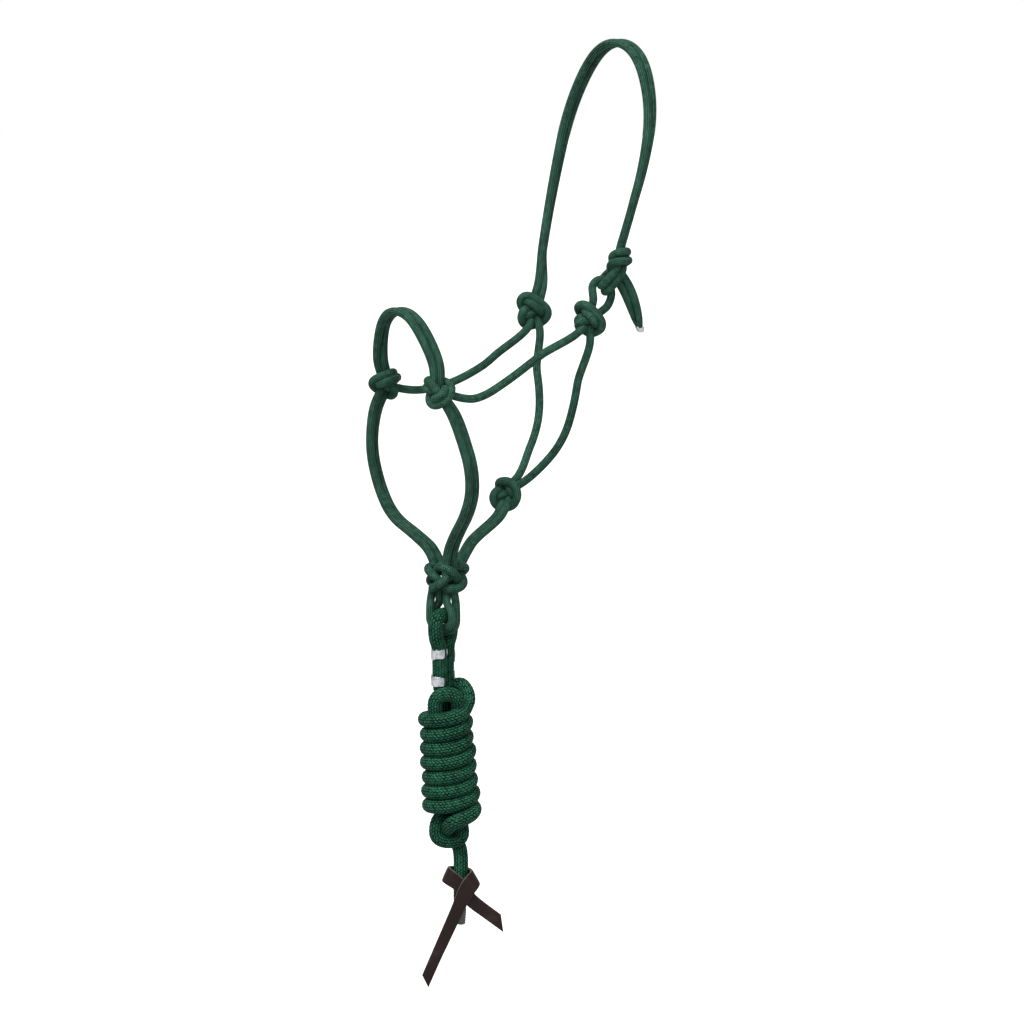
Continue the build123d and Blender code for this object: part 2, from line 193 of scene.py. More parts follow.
def braided_mesh(name, stretches, braid):
    """One mesh of closed tubes, each from a stretch of rope rings, with the braid's coordinates."""
    sides = braid["sides"]
    corners, sizes, uvs = [], [], []
    base = 0
    turn = np.arange(sides)
    half = braid["carriers"] / 2
    for points, _, along in stretches:
        rings = len(points)
        row = base + np.arange(rings - 1)[:, None] * sides
        here, beside = row + turn, row + (turn + 1) % sides
        quads = np.stack([here, beside, beside + sides, here + sides], axis=2).reshape(-1, 4)
        caps = [base + turn[::-1], base + (rings - 1) * sides + turn]
        corners += [quads.ravel(), *caps]
        sizes += [np.full(len(quads), 4), [sides, sides]]
        # In carriers round the rope and picks along it, with the seam's far side at a full turn
        u0 = np.tile(turn / sides, rings - 1) * half
        u1 = u0 + half / sides
        v0 = np.repeat(along[:-1], sides) / braid["pick"]
        v1 = np.repeat(along[1:], sides) / braid["pick"]
        uvs += [np.stack([u0, v0, u1, v0, u1, v1, u0, v1], axis=1).ravel(), np.zeros(4 * sides)]
        base += rings * sides
    corners, sizes = np.concatenate(corners), np.concatenate(sizes)
    mesh = bpy.data.meshes.new(name)
    mesh.vertices.add(base)
    places = np.concatenate([points.reshape(-1, 3) for points, _, _ in stretches])
    mesh.vertices.foreach_set("co", places.astype(np.float32).ravel())
    mesh.loops.add(len(corners))
    mesh.loops.foreach_set("vertex_index", corners.astype(np.int32))
    mesh.polygons.add(len(sizes))
    mesh.polygons.foreach_set("loop_start", (np.cumsum(sizes) - sizes).astype(np.int32))
    mesh.update(calc_edges=True)
    mesh.polygons.foreach_set("use_smooth", sizes == 4)
    height = np.concatenate([height.ravel() for _, height, _ in stretches])
    # The floats' height, for the relief and for the shade and highlights painted in the rope's colour
    mesh.attributes.new("crest", "FLOAT", "POINT").data.foreach_set("value", height.astype(np.float32))
    mesh.uv_layers.new(name="lay").data.foreach_set("uv", np.concatenate(uvs).astype(np.float32))
    made = bpy.data.objects.new(name, mesh)
    bpy.context.scene.collection.objects.link(made)
    return made


# ---- Materials ----
class Nodes:
    """A material's node tree, with short calls for the nodes that the materials here use."""

    def __init__(self, name):
        self.material = bpy.data.materials.new(name)
        self.material.use_nodes = True
        self.tree = self.material.node_tree
        self.shader = self.tree.nodes["Principled BSDF"]

    def add(self, kind, inputs=(), **settings):
        node = self.tree.nodes.new(kind)
        for key, value in settings.items():
            setattr(node, key, value)
        for key, value in dict(inputs).items():
            self.feed(node.inputs[key], value)
        return node

    def feed(self, socket, value):
        if isinstance(value, bpy.types.NodeSocket):
            self.tree.links.new(value, socket)
        else:
            socket.default_value = value

    def math(self, operation, *values):
        node = self.add("ShaderNodeMath", operation=operation)
        for socket, value in zip(node.inputs, values):
            self.feed(socket, value)
        return node.outputs[0]

    def mix(self, share, one, other):
        node = self.add("ShaderNodeMix", data_type="RGBA")
        for socket, value in zip((node.inputs[0], node.inputs[6], node.inputs[7]), (share, one, other)):
            self.feed(socket, value)
        return node.outputs[2]

    def noise(self, scale, detail=3.0, vector=None, roughness=0.55):
        where = vector or self.add("ShaderNodeTexCoord").outputs["Object"]
        inputs = {"Vector": where, "Scale": scale, "Detail": detail, "Roughness": roughness}
        return self.add("ShaderNodeTexNoise", inputs).outputs["Fac"]

    def ramp(self, value, *stops):
        node = self.add("ShaderNodeValToRGB", {"Fac": value})
        elements = node.color_ramp.elements
        while len(elements) < len(stops):
            elements.new(0.5)
        for element, (place, colour) in zip(elements, stops):
            element.position = place
            element.color = (*colour, 1.0)
        return node.outputs["Color"]

    def bump(self, height, distance, strength=1.0):
        inputs = {"Height": height, "Distance": distance, "Strength": strength}
        return self.add("ShaderNodeBump", inputs).outputs["Normal"]

    def set(self, **values):
        for name, value in values.items():
            self.feed(self.shader.inputs[name.replace("_", " ")], value)
        return self.material


def rope_material(name, gap, body, crest_highlight, shine):
    """Braided polyester: shade painted in the gaps between floats, highlights painted on their crests, and
    the fine yarns that lie in each float.
    """
    n = Nodes(name)
    lay = n.add("ShaderNodeUVMap", uv_map="lay").outputs["UV"]
    parts = n.add("ShaderNodeSeparateXYZ", {"Vector": lay})
    round_it, along = parts.outputs["X"], parts.outputs["Y"]
    one = n.math("ADD", round_it, along)
    other = n.math("SUBTRACT", round_it, along)
    cell = n.math("ADD", n.math("FLOOR", one), n.math("FLOOR", other))
    on_top = n.math("LESS_THAN", n.math("FLOORED_MODULO", cell, 4.0), 2.0)
    across = n.math("ADD", n.math("MULTIPLY", one, on_top),
                    n.math("MULTIPLY", other, n.math("SUBTRACT", 1.0, on_top)))
    # One stripe per yarn across each float; in the colour the stripes darken the grooves between yarns as
    # painted shade
    yarn = n.math("SINE", n.math("MULTIPLY", across, 2 * math.pi * 4))
    yarn = n.math("MULTIPLY_ADD", yarn, 0.5, 0.5)
    # How high the floats stand: shade is painted where they are low and highlights where they are high
    crest = n.add("ShaderNodeAttribute", attribute_name="crest").outputs["Fac"]
    tint = n.noise(260.0, 2.0)
    patch = n.noise(38.0, 2.0)
    lift = n.math("MULTIPLY_ADD", n.math("SUBTRACT", tint, 0.5), 0.55, crest)
    lift = n.math("MULTIPLY_ADD", n.math("SUBTRACT", patch, 0.5), 0.30, lift)
    lift = n.math("MULTIPLY_ADD", n.math("SUBTRACT", yarn, 0.5), 0.16, lift)
    # From shade painted in the gaps (gap), through the rope's own colour (body), to highlights painted on the
    # crests; the noises add random tone
    colour = n.ramp(lift, (0.08, gap), (0.42, body), (0.98, crest_highlight))
    height = n.math("MULTIPLY_ADD", n.noise(1500.0, 2.0), 0.6, yarn)
    rough = n.math("MULTIPLY_ADD", patch, 0.2, 0.50)
    return n.set(Base_Color=colour, Roughness=rough, Normal=n.bump(height, 0.00012, 0.7),
                 Specular_IOR_Level=shine)


def metal_material(name):
    """Soft aluminium strip, pressed by hand, with fine rolling lines and small dents."""
    n = Nodes(name)
    dents = n.noise(420.0, 2.0)
    scratches = n.add("ShaderNodeMapping", {"Vector": n.add("ShaderNodeTexCoord").outputs["Object"],
                                            "Scale": (60.0, 60.0, 2600.0)}).outputs["Vector"]
    lines = n.noise(1.0, 3.0, scratches)
    height = n.math("MULTIPLY_ADD", dents, 1.6, lines)
    rough = n.math("MULTIPLY_ADD", lines, 0.22, 0.17)
    # Mottled from dark to pale grey; the dark patches are painted dark reflections
    colour = n.ramp(n.noise(180.0, 3.0), (0.3, (0.17, 0.18, 0.19)), (0.75, (0.50, 0.52, 0.54)))
    return n.set(Base_Color=colour, Roughness=rough, Metallic=1.0, Normal=n.bump(height, 0.00025, 0.6))


def leather_material(name):
    """Oiled dark brown leather: a fine pebbled grain, faint creases and a worn bloom."""
    n = Nodes(name)
    grain = n.add("ShaderNodeTexVoronoi", {"Vector": n.add("ShaderNodeTexCoord").outputs["Object"],
                                           "Scale": 900.0}, feature="F1").outputs["Distance"]
    crease = n.noise(90.0, 4.0)
    height = n.math("MULTIPLY_ADD", crease, 1.4, n.math("MULTIPLY", grain, 0.6))
    wear = n.math("MULTIPLY_ADD", n.noise(28.0, 3.0), 0.8, n.math("MULTIPLY", crease, 0.35))
    colour = n.ramp(wear, (0.30, (0.0028, 0.0011, 0.0008)), (0.60, (0.0060, 0.0028, 0.0021)),
                    (0.95, (0.023, 0.0138, 0.0112)))
    rough = n.math("MULTIPLY_ADD", wear, 0.25, 0.42)
    return n.set(Base_Color=colour, Roughness=rough, Specular_IOR_Level=0.11,
                 Normal=n.bump(height, 0.00022, 0.55))


def edge_material(name):
    """The cut edge of the leather, paler and rougher than its face."""
    n = Nodes(name)
    fibre = n.noise(600.0, 4.0)
    colour = n.ramp(fibre, (0.3, (0.040, 0.024, 0.020)), (0.8, (0.13, 0.092, 0.080)))
    return n.set(Base_Color=colour, Roughness=0.85, Specular_IOR_Level=0.2, Normal=n.bump(fibre, 0.0002, 0.6))


def whipping_material(name):
    """Grey-green shrunk sleeve over the rope's end, matt and slightly ribbed."""
    n = Nodes(name)
    ribs = n.add("ShaderNodeMapping", {"Vector": n.add("ShaderNodeTexCoord").outputs["Object"],
                                       "Scale": (60.0, 60.0, 900.0)}).outputs["Vector"]
    lines = n.noise(1.0, 2.0, ribs)
    colour = n.ramp(n.noise(160.0, 4.0), (0.3, (0.012, 0.016, 0.014)), (0.75, (0.055, 0.058, 0.052)))
    return n.set(Base_Color=colour, Roughness=0.6, Specular_IOR_Level=0.25, Normal=n.bump(lines, 0.0003, 0.6))


# For each rope: the shade painted in its gaps, its own colour, the highlights painted on its crests, and its
# shine
HALTER_GREEN = rope_material("halter rope", (0.0001, 0.0005, 0.0002), (0.0007, 0.0070, 0.0040),
                             (0.029, 0.090, 0.062), 0.05)
LEAD_GREEN = rope_material("lead rope", (0.0000, 0.0002, 0.0001), (0.0001, 0.0022, 0.0010),
                           (0.014, 0.080, 0.046), 0.03)
BRIGHT = metal_material("bright strip")
LEATHER = leather_material("oiled leather")
LEATHER_EDGE = edge_material("leather edge")
SLEEVE = whipping_material("shrunk sleeve")


def finish_piece(piece, body, slot, *nodes, materials=()):
    """Give a piece its materials and its body, and hide the nodes it stands for; slot is not used."""
    for material in materials:
        piece.data.materials.append(material)
    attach(piece, body)
    if nodes:
        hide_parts(*nodes)
    return piece


def halter_piece(name, stretches, body, *nodes):
    """One piece of the halter's rope, from stretches of rope rings."""
    piece = braided_mesh(name, stretches, HALTER_BRAID)
    return finish_piece(piece, body, "halter_rope", *nodes, materials=[HALTER_GREEN])


# ---- Pulling a knot tight ----
REFRESH = 8  # rounds between two searches for points that may touch
PRESS = 0.80  # ropes in a tight knot flatten to this share of their thickness where they touch
CANDIDATE = 1.7  # points nearer than this many diameters may touch before the next search


def pulled_tight(strands, diameter, rounds=(400, 200), press=PRESS):
    """Lay strands tight against themselves and each other, their two ends held in place.

    strands are loose control points. Each round shortens every strand a little and then moves
    apart whatever lies nearer than the rope's thickness; the second set of rounds does it again
    on points twice as close together.
    """
    lines = [even(smooth_line(s), 0.62 * diameter) for s in strands]
    for number, count in enumerate(rounds):
        if number:
            lines = [even(line, 0.5 * along_of(line)[-1] / (len(line) - 1)) for line in lines]
        lengths = [len(line) for line in lines]
        points = np.concatenate(lines)
        owner = np.repeat(np.arange(len(lines)), lengths)
        place = np.concatenate([np.arange(k) for k in lengths])
        held = np.zeros(len(points), bool)
        firsts = np.cumsum([0] + lengths[:-1])
        for first, size in zip(firsts, lengths):
            held[[first, first + 1, first + size - 2, first + size - 1]] = True
        free = ~held
        upper_i, upper_j = np.triu_indices(len(points), 2)
        same = owner[upper_i] == owner[upper_j]
        steps = np.abs(place[upper_i] - place[upper_j])
        for turn in range(count):
            if turn % REFRESH == 0:
                spacing = np.array([along_of(points[f:f + k])[-1] / (k - 1) for f, k in zip(firsts, lengths)])
                gap = points[upper_i] - points[upper_j]
                near = np.einsum("ij,ij->i", gap, gap) < (CANDIDATE * diameter) ** 2
                near &= ~(same & (steps * spacing[owner[upper_i]] < 1.5 * diameter))
                pair_i, pair_j = upper_i[near], upper_j[near]
            pull = np.zeros_like(points)
            for first, size in zip(firsts, lengths):
                span = points[first:first + size]
                pull[first + 1:first + size - 1] = (span[:-2] + span[2:]) / 2 - span[1:-1]
            points[free] += 0.6 * pull[free]
            for _ in range(3):
                gap = points[pair_i] - points[pair_j]
                distance = np.linalg.norm(gap, axis=1)
                close = distance < press * diameter
                i, j = pair_i[close], pair_j[close]
                push = gap[close] / np.maximum(distance[close], 1e-6)[:, None]
                push *= (0.25 * (press * diameter - distance[close]))[:, None]
                moved = np.zeros_like(points)
                np.add.at(moved, i, push)
                np.add.at(moved, j, -push)
                share = np.bincount(np.concatenate([i, j]), minlength=len(points))
                moved /= np.maximum(1, share / 3)[:, None]
                points[free] += moved[free]
        lines = [points[f:f + k] for f, k in zip(firsts, lengths)]
    return [softened(line, 3) for line in lines]


def away(line, centre, distance):
    """The first point of a line, counted from the end at the centre, that is so far from it."""
    near_start = np.linalg.norm(line[0] - centre) < np.linalg.norm(line[-1] - centre)
    ordered = line if near_start else line[::-1]
    far = np.linalg.norm(ordered - centre, axis=1) >= distance
    return ordered[int(np.argmax(far))]


def facing(turn):
    """Right, up and towards the viewer, for a viewer who looks along a heading."""
    angle = math.radians(turn)
    right = np.array([math.cos(angle), math.sin(angle), 0.0])
    towards = np.array([math.sin(angle), -math.cos(angle), 0.0])
    return right, np.array([0.0, 0.0, 1.0]), towards


LOOSE = 0.0135  # the open trefoil of a loose overhand knot, to each crossing's middle
LOOSE_DEPTH = 0.009
BESIDE = 0.54 * HALTER_ROPE  # half of the way between two strands laid side by side
CROWD_REACH = 0.015  # a knot's middle is where most of its rope lies within this reach


def overhand(centre, tops, feet, turn=VIEW_TURN, hand=1, tilt=0.0):
    """An overhand knot in a doubled or tripled rope, pulled tight.

    tops and feet are points on the strands that leave it above and below, from right to left; the
    loose knot is a trefoil, cut open at one lobe, that faces a heading, leaning by tilt.
    """
    centre = np.array(centre)
    right, up, towards = facing(turn)
    lean = math.radians(tilt)
    right, up = right * math.cos(lean) + up * math.sin(lean), up * math.cos(lean) - right * math.sin(lean)
    angles = np.linspace(3.86, 2 * math.pi + 2.43, 17)
    x = -(np.cos(angles) - 2 * np.cos(2 * angles)) * LOOSE
    y = (np.sin(angles) + 2 * np.sin(2 * angles)) * LOOSE
    depth = -np.sin(3 * angles) * LOOSE_DEPTH * hand
    flat = np.stack([x - 0.75 * LOOSE, y], axis=1)
    run = np.gradient(flat, axis=0)
    normal = np.stack([-run[:, 1], run[:, 0]], axis=1) / np.linalg.norm(run, axis=1)[:, None]
    strands = []
    for side, top, foot in zip(np.arange(len(tops) - 1, -len(tops), -2), tops, feet):
        path = flat + side * BESIDE * normal
        places = [centre + right * a + up * b + towards * c for (a, b), c in zip(path, depth)]
        head = [top + (top - centre) * 0.5, top]
        tail = [foot, foot + (foot - centre) * 0.5]
        strands.append([tuple(p) for p in head + places + tail])
    lines = pulled_tight(strands, HALTER_ROPE)
    # A knot slips along its ropes while it tightens, so it is put back on its centre
    points = np.concatenate(lines)
    crowd = (np.linalg.norm(points[:, None] - points[None], axis=2) < CROWD_REACH).sum(axis=1) ** 2
    slipped = (points * crowd[:, None]).sum(axis=0) / crowd.sum() - centre
    return [line - slipped for line in lines]


# ---- The halter's strands, from the frame's routes ----
CROWN = [
    RIGHT_CHEEK, (-0.065, -0.043, -0.187), (-0.080, -0.022, -0.127), (-0.077, -0.009, -0.066),
    (-0.052, -0.002, -0.019), (-0.020, 0.0, 0.004), (0.020, 0.0, 0.004), (0.051, -0.001, -0.017),
    (0.076, -0.008, -0.062), (0.081, -0.020, -0.112), (0.075, -0.032, -0.158), TIE_TOP,
]
CROWN_TURNS = [142, 140, 128, 110, 95, 90, 90, 95, 115, 135, 145, 150]
FRONT_LEG = [
    (0.052, -0.068, -0.250), (0.057, -0.072, -0.238), (0.059, -0.068, -0.222), (0.063, -0.053, -0.208),
]
REAR_LEG = [
    (0.053, -0.055, -0.250), (0.058, -0.045, -0.242), (0.062, -0.041, -0.229), (0.065, -0.041, -0.212),
]
LEFT_CHEEK_ROUTE = [
    LEFT_NOSE, (0.054, -0.202, -0.3235), (0.053, -0.180, -0.325), (0.052, -0.146, -0.307),
    (0.051, -0.110, -0.284), LEFT_CHEEK,
]
RIGHT_CHEEK_ROUTE = [
    RIGHT_NOSE, (-0.053, -0.203, -0.323), (-0.054, -0.172, -0.323), (-0.054, -0.138, -0.314),
    (-0.052, -0.098, -0.292), RIGHT_CHEEK,
]
STUB = [
    (-0.055, -0.221, -0.314), (-0.053, -0.217, -0.3115), (-0.0505, -0.213, -0.310),
    (-0.0473, -0.2083, -0.3093),
]
LEFT_THROAT_ROUTE = [
    LEFT_CHEEK, (0.049, -0.069, -0.290), (0.044, -0.072, -0.332), (0.032, -0.078, -0.371),
    (0.015, -0.099, -0.402), THROAT,
]
RIGHT_THROAT_ROUTE = [
    RIGHT_CHEEK, (-0.049, -0.063, -0.288), (-0.042, -0.059, -0.334), (-0.029, -0.071, -0.366),
    (-0.013, -0.098, -0.398), THROAT,
]
THROAT_DROP = [THROAT, (0.0, -0.140, -0.443), (0.0, -0.159, -0.461), (0.0, -0.176, -0.490)]
LEFT_CHIN = [
    LEFT_NOSE, (0.066, -0.214, -0.344), (0.075, -0.204, -0.374), (0.076, -0.200, -0.405),
    (0.060, -0.197, -0.430), (0.030, -0.193, -0.454), (0.010, -0.189, -0.474), (0.008, -0.188, -0.494),
]
LEFT_CHIN_TURNS = [105, 107, 108, 108, 108, 105, 100, 95]
RIGHT_CHIN = [
    RIGHT_NOSE, (-0.066, -0.228, -0.346), (-0.077, -0.225, -0.380), (-0.077, -0.216, -0.416),
    (-0.062, -0.210, -0.443), (-0.034, -0.200, -0.458), (-0.012, -0.191, -0.474), (-0.008, -0.189, -0.494),
]
RIGHT_CHIN_TURNS = [120, 122, 122, 118, 112, 105, 95, 90]
NOSEBAND = [
    RIGHT_NOSE, (-0.054, -0.227, -0.291), (-0.043, -0.232, -0.262), (-0.016, -0.236, -0.244),
    (0.016, -0.234, -0.245), (0.042, -0.231, -0.266), (0.054, -0.227, -0.294), LEFT_NOSE,
]
NOSEBAND_TURNS = [130, 124, 112, 90, 88, 74, 62, 60]


def pair(points, turns):
    """The two smooth lines of a doubled rope."""
    return [smooth_line(route) for route in spread(points, turns, PAIR_STEP)]


crown_front, crown_rear = pair(CROWN, CROWN_TURNS)
front_leg, rear_leg = smooth_line(FRONT_LEG), smooth_line(REAR_LEG)
left_cheek, right_cheek = smooth_line(LEFT_CHEEK_ROUTE), smooth_line(RIGHT_CHEEK_ROUTE)
left_throat, right_throat = smooth_line(LEFT_THROAT_ROUTE), smooth_line(RIGHT_THROAT_ROUTE)
right_drop, left_drop = pair(THROAT_DROP, [0] * 4)
left_chin_front, left_chin_rear = pair(LEFT_CHIN, LEFT_CHIN_TURNS)
right_chin_front, right_chin_rear = pair(RIGHT_CHIN, RIGHT_CHIN_TURNS)
noseband_front, noseband_rear = pair(NOSEBAND, NOSEBAND_TURNS)


# ---- The tie on the left cheek: the crown's doubled end through the cheek loop and round itself ----
TIE = np.array((0.066, -0.038, -0.206))
MM = 0.001
# Right, up and towards the viewer from the tie's middle, in mm
TIE_REAR = [
    (2, 22, -4), (3, 13, -3), (3, 2, 0), (-1, -11, 6), (-8, -25, 8), (-14, -35, 2), (-18, -31, -7),
    (-13, -10, -13), (-3, 13, -13), (7, 20, -11), (13.5, 22, -3), (12.5, 22.5, 6), (4, 19.5, 12),
    (-6, 15, 10), (-10.5, 11, 2), (-7, 8.5, -6), (1, 4, -7), (8, -5, -4), (13, -16, 0),
    (16.5, -30, 0), (19, -44, -3), (20.5, -56, -6),
]
TIE_FRONT = [
    (3, 22, 4), (1, 13, 3), (-3, 2, 4), (-7, -10, 8), (-14, -22, 8), (-20, -29, 2), (-22, -23, -6),
    (-14, -3, -13), (-2, 5, -13), (7, 9, -12), (13, 11, -4), (12.5, 10.5, 5), (5, 8, 12.5),
    (-5, 4.5, 11.5), (-10.5, 1.5, 4), (-8, -1.5, -4), (-2, -5, -6), (3, -12, -4), (8, -23, 0),
    (13, -38, -2), (18.5, -50, -7), (20, -57, -9),
]
TIE_BIGHT = [
    (-34, -34, -3), (-33, -24, -3), (-27, -12, -3), (-17, -4, -4), (-8, -5, -5), (-5, -18, -3),
    (-9, -32, -3),
]
TAIL_START = 17  # the tails begin here in the two lists, under the lower wrap


def laid(centre, place, turn=VIEW_TURN):
    """A point given as right, up and towards the viewer from a centre, in mm."""
    return centre + sum(way * amount * MM for way, amount in zip(facing(turn), place))


def tie_lines():
    """The two strands of the crown's end and the cheek loop, pulled tight round each other."""
    strands = []
    for places, crown in ((TIE_REAR, crown_rear), (TIE_FRONT, crown_front)):
        head = [away(crown[::-1], TIE, 0.055), away(crown[::-1], TIE, 0.036)]
        strands.append([tuple(p) for p in head + [laid(TIE, place) for place in places]])
    strands.append([tuple(laid(TIE, place)) for place in TIE_BIGHT])
    return pulled_tight(strands, HALTER_ROPE, rounds=(25, 40), press=0.88)


# ---- Knots and the runs through them ----
BEND_INSIDE = 0.020  # a knot's own line is used this far out, and the strand's from BEND_OUTSIDE
BEND_OUTSIDE = 0.060
LEG_START = 0.034  # the cheek loop's legs follow the tie's lines down to here
BRIDGE_PULL = 0.8  # how strongly a bridge keeps its ends' headings
SAME_KNOT = 0.13  # a shorter way outside a knot's ball still belongs to the knot
FAR = 0.06  # how far out an overhand knot is held while it is pulled tight
NOSE_DROP = np.array((0, 0, 0.005))  # the noseband starts well inside the nose knots, to turn in them
KNOTS = {
    "left_cheek_knot": (np.array(LEFT_CHEEK), 0.0135),
    "right_cheek_knot": (np.array(RIGHT_CHEEK), 0.0135),
    "left_nose_knot": (np.array(LEFT_NOSE) - NOSE_DROP, 0.0135),
    "right_nose_knot": (np.array(RIGHT_NOSE) - NOSE_DROP, 0.0135),
    "throat_knot": (np.array(THROAT), 0.0135),
    "tie_knot": (np.array((0.065, -0.041, -0.205)), 0.023),
}
made = {}


def within(line, centre, reach=BEND_INSIDE):
    """The stretch of a line from where it first comes so near to a centre to where it last is."""
    near = np.flatnonzero(np.linalg.norm(line - np.array(centre), axis=1) < reach)
    return line[near[0]:near[-1] + 1]


def beyond(line, *centres):
    """The stretch of a strand that is clear of the knots at its ends."""
    clear = np.ones(len(line), bool)
    for centre in centres:
        clear &= np.linalg.norm(line - np.array(centre), axis=1) > BEND_OUTSIDE
    return line[clear]


def joined(*parts):
    """One line through the parts, with a smooth bridge over each gap between them."""
    line = parts[0]
    for part in parts[1:]:
        reach = np.linalg.norm(part[0] - line[-1])
        leaving = BRIDGE_PULL * reach * (line[-1] - line[-2]) / np.linalg.norm(line[-1] - line[-2])
        arriving = BRIDGE_PULL * reach * (part[1] - part[0]) / np.linalg.norm(part[1] - part[0])
        t = np.linspace(0, 1, 12)[1:-1, None]
        bridge = (2 * t**3 - 3 * t**2 + 1) * line[-1] + (t**3 - 2 * t**2 + t) * leaving
        bridge = bridge + (3 * t**2 - 2 * t**3) * part[0] + (t**3 - t**2) * arriving
        line = np.concatenate([line, bridge, part])
    return softened(even(line, 0.001), 6)


def stretches_of(owners, along):
    """The stretches of a run with one owner each, small ways outside a knot counted in."""
    marks = [0, *(np.flatnonzero(np.diff(owners)) + 1), len(owners) - 1]
    for before, start, stop, after in zip(marks, marks[1:], marks[2:], marks[3:]):
        outside = owners[start] < 0 and owners[before] == owners[stop]
        if outside and along[stop] - along[start] < SAME_KNOT:
            owners[start:stop] = owners[before]
    marks = [0, *(np.flatnonzero(np.diff(owners)) + 1), len(owners) - 1]
    return list(zip(marks, marks[1:]))


def lay_run(line, *names):
    """Make a run's rope and share it out between the strands and knots that it passes, in order."""
    points, height, along = rope_rings(line, HALTER_ROPE, HALTER_BRAID)
    middle = points.mean(axis=1)
    owners = np.full(len(points), -1)
    for number, name in enumerate(KNOTS):
        centre, reach = KNOTS[name]
        if name in names:
            owners[np.linalg.norm(middle - centre, axis=1) < reach] = number
    stretches = stretches_of(owners, along)
    if len(stretches) != len(names):
        raise ValueError(f"{names} has {len(stretches)} stretches: {[int(owners[a]) for a, _ in stretches]}")
    for name, (a, b) in zip(names, stretches):
        made.setdefault(name, []).append((points[a:b + 1], height[a:b + 1], along[a:b + 1]))


def ends(centre, *lines, reach=FAR):
    """A point on each line, some way from a knot."""
    return [away(line, np.array(centre), reach) for line in lines]


right_cheek_rear, right_cheek_front = overhand(
    RIGHT_CHEEK, ends(RIGHT_CHEEK, crown_rear, crown_front),
    ends(RIGHT_CHEEK, right_throat, right_cheek), hand=-1, tilt=25)
left_cheek_rear, left_cheek_front = overhand(
    LEFT_CHEEK, ends(LEFT_CHEEK, rear_leg, front_leg, reach=0.02),
    ends(LEFT_CHEEK, left_throat, left_cheek), hand=-1, tilt=25)
throat_left, throat_right = overhand(
    THROAT, ends(THROAT, left_throat, right_throat, reach=0.05),
    ends(THROAT, left_drop, right_drop, reach=0.05), hand=-1)
left_nose_rear, left_nose_front = overhand(
    LEFT_NOSE, ends(LEFT_NOSE, noseband_rear, noseband_front),
    ends(LEFT_NOSE, left_chin_rear, left_chin_front))
# Seen from behind, the front strand is on the right
right_nose_front, right_nose_rear = overhand(
    RIGHT_NOSE, ends(RIGHT_NOSE, noseband_front, noseband_rear),
    ends(RIGHT_NOSE, right_chin_front, right_chin_rear), turn=VIEW_TURN + 180)
tie_rear, tie_front, bight = tie_lines()
bight = bight[np.linalg.norm(bight - np.array(LEFT_CHEEK), axis=1) > LEG_START]


def tail_top(line, places):
    """Where a tail comes out from under the tie: its point nearest to the laid one."""
    late = len(line) // 2
    return late + int(np.argmin(np.linalg.norm(line[late:] - laid(TIE, places[TAIL_START]), axis=1)))


def tie_part(line, places):
    """A strand of the tie from under its wraps up to where the crown's own line takes over."""
    inside = line[:tail_top(line, places) + 1][::-1]
    late = len(inside) // 2
    far = np.linalg.norm(inside[late:] - TIE, axis=1) > 0.030
    return inside[:late + int(np.argmax(far))]


lay_run(joined(tie_part(tie_front, TIE_FRONT), beyond(crown_front[::-1], TIE, RIGHT_CHEEK),
               within(right_cheek_front, RIGHT_CHEEK), beyond(right_cheek[::-1], RIGHT_CHEEK)),
        "tie_knot", "crown_front_strand", "right_cheek_knot", "right_cheek_strand")
lay_run(joined(tie_part(tie_rear, TIE_REAR), beyond(crown_rear[::-1], TIE, RIGHT_CHEEK),
               within(right_cheek_rear, RIGHT_CHEEK), beyond(right_throat, RIGHT_CHEEK, THROAT),
               within(throat_right, THROAT), beyond(right_drop, THROAT)),
        "tie_knot", "crown_rear_strand", "right_cheek_knot", "right_throat_strand", "throat_knot",
        "right_throat_drop")
lay_run(joined(beyond(left_cheek, LEFT_CHEEK), within(left_cheek_front, LEFT_CHEEK)[::-1], bight,
               within(left_cheek_rear, LEFT_CHEEK), beyond(left_throat, LEFT_CHEEK, THROAT),
               within(throat_left, THROAT), beyond(left_drop, THROAT)),
        "left_cheek_strand", "left_cheek_knot", "tie_loop_front_leg", "tie_knot", "tie_loop_rear_leg",
        "left_cheek_knot", "left_throat_strand", "throat_knot", "left_throat_drop")
lay_run(joined(beyond(right_chin_front[::-1], RIGHT_NOSE),
               within(right_nose_front, RIGHT_NOSE)[::-1], beyond(noseband_front, RIGHT_NOSE, LEFT_NOSE),
               within(left_nose_front, LEFT_NOSE), beyond(left_chin_front, LEFT_NOSE)),
        "right_chin_front_strand", "right_nose_knot", "noseband_front_strand", "left_nose_knot",
        "left_chin_front_strand")
lay_run(joined(beyond(right_chin_rear[::-1], RIGHT_NOSE), within(right_nose_rear, RIGHT_NOSE)[::-1],
               beyond(noseband_rear, RIGHT_NOSE, LEFT_NOSE), within(left_nose_rear, LEFT_NOSE),
               beyond(left_chin_rear, LEFT_NOSE)),
        "right_chin_rear_strand", "right_nose_knot", "noseband_rear_strand", "left_nose_knot",
        "left_chin_rear_strand")
made["rope_end_stub"] = [rope_rings(smooth_line(STUB), HALTER_ROPE, HALTER_BRAID, rounded=(False, True))]


def pinched(share):
    """The tails are drawn together and pressed thin under the ferrule."""
    return 1 - 0.34 * np.clip((share - 0.45) / 0.55, 0, 1) ** 1.5


TAIL_OVERLAP = 6  # points by which a tail begins inside the tie
for node, line, places in (("crown_tail_rear", tie_rear, TIE_REAR),
                           ("crown_tail_front", tie_front, TIE_FRONT)):
    tail = line[tail_top(line, places) - TAIL_OVERLAP:]
    made[node] = [rope_rings(tail, HALTER_ROPE, HALTER_BRAID, rounded=(True, False), taper=pinched)]


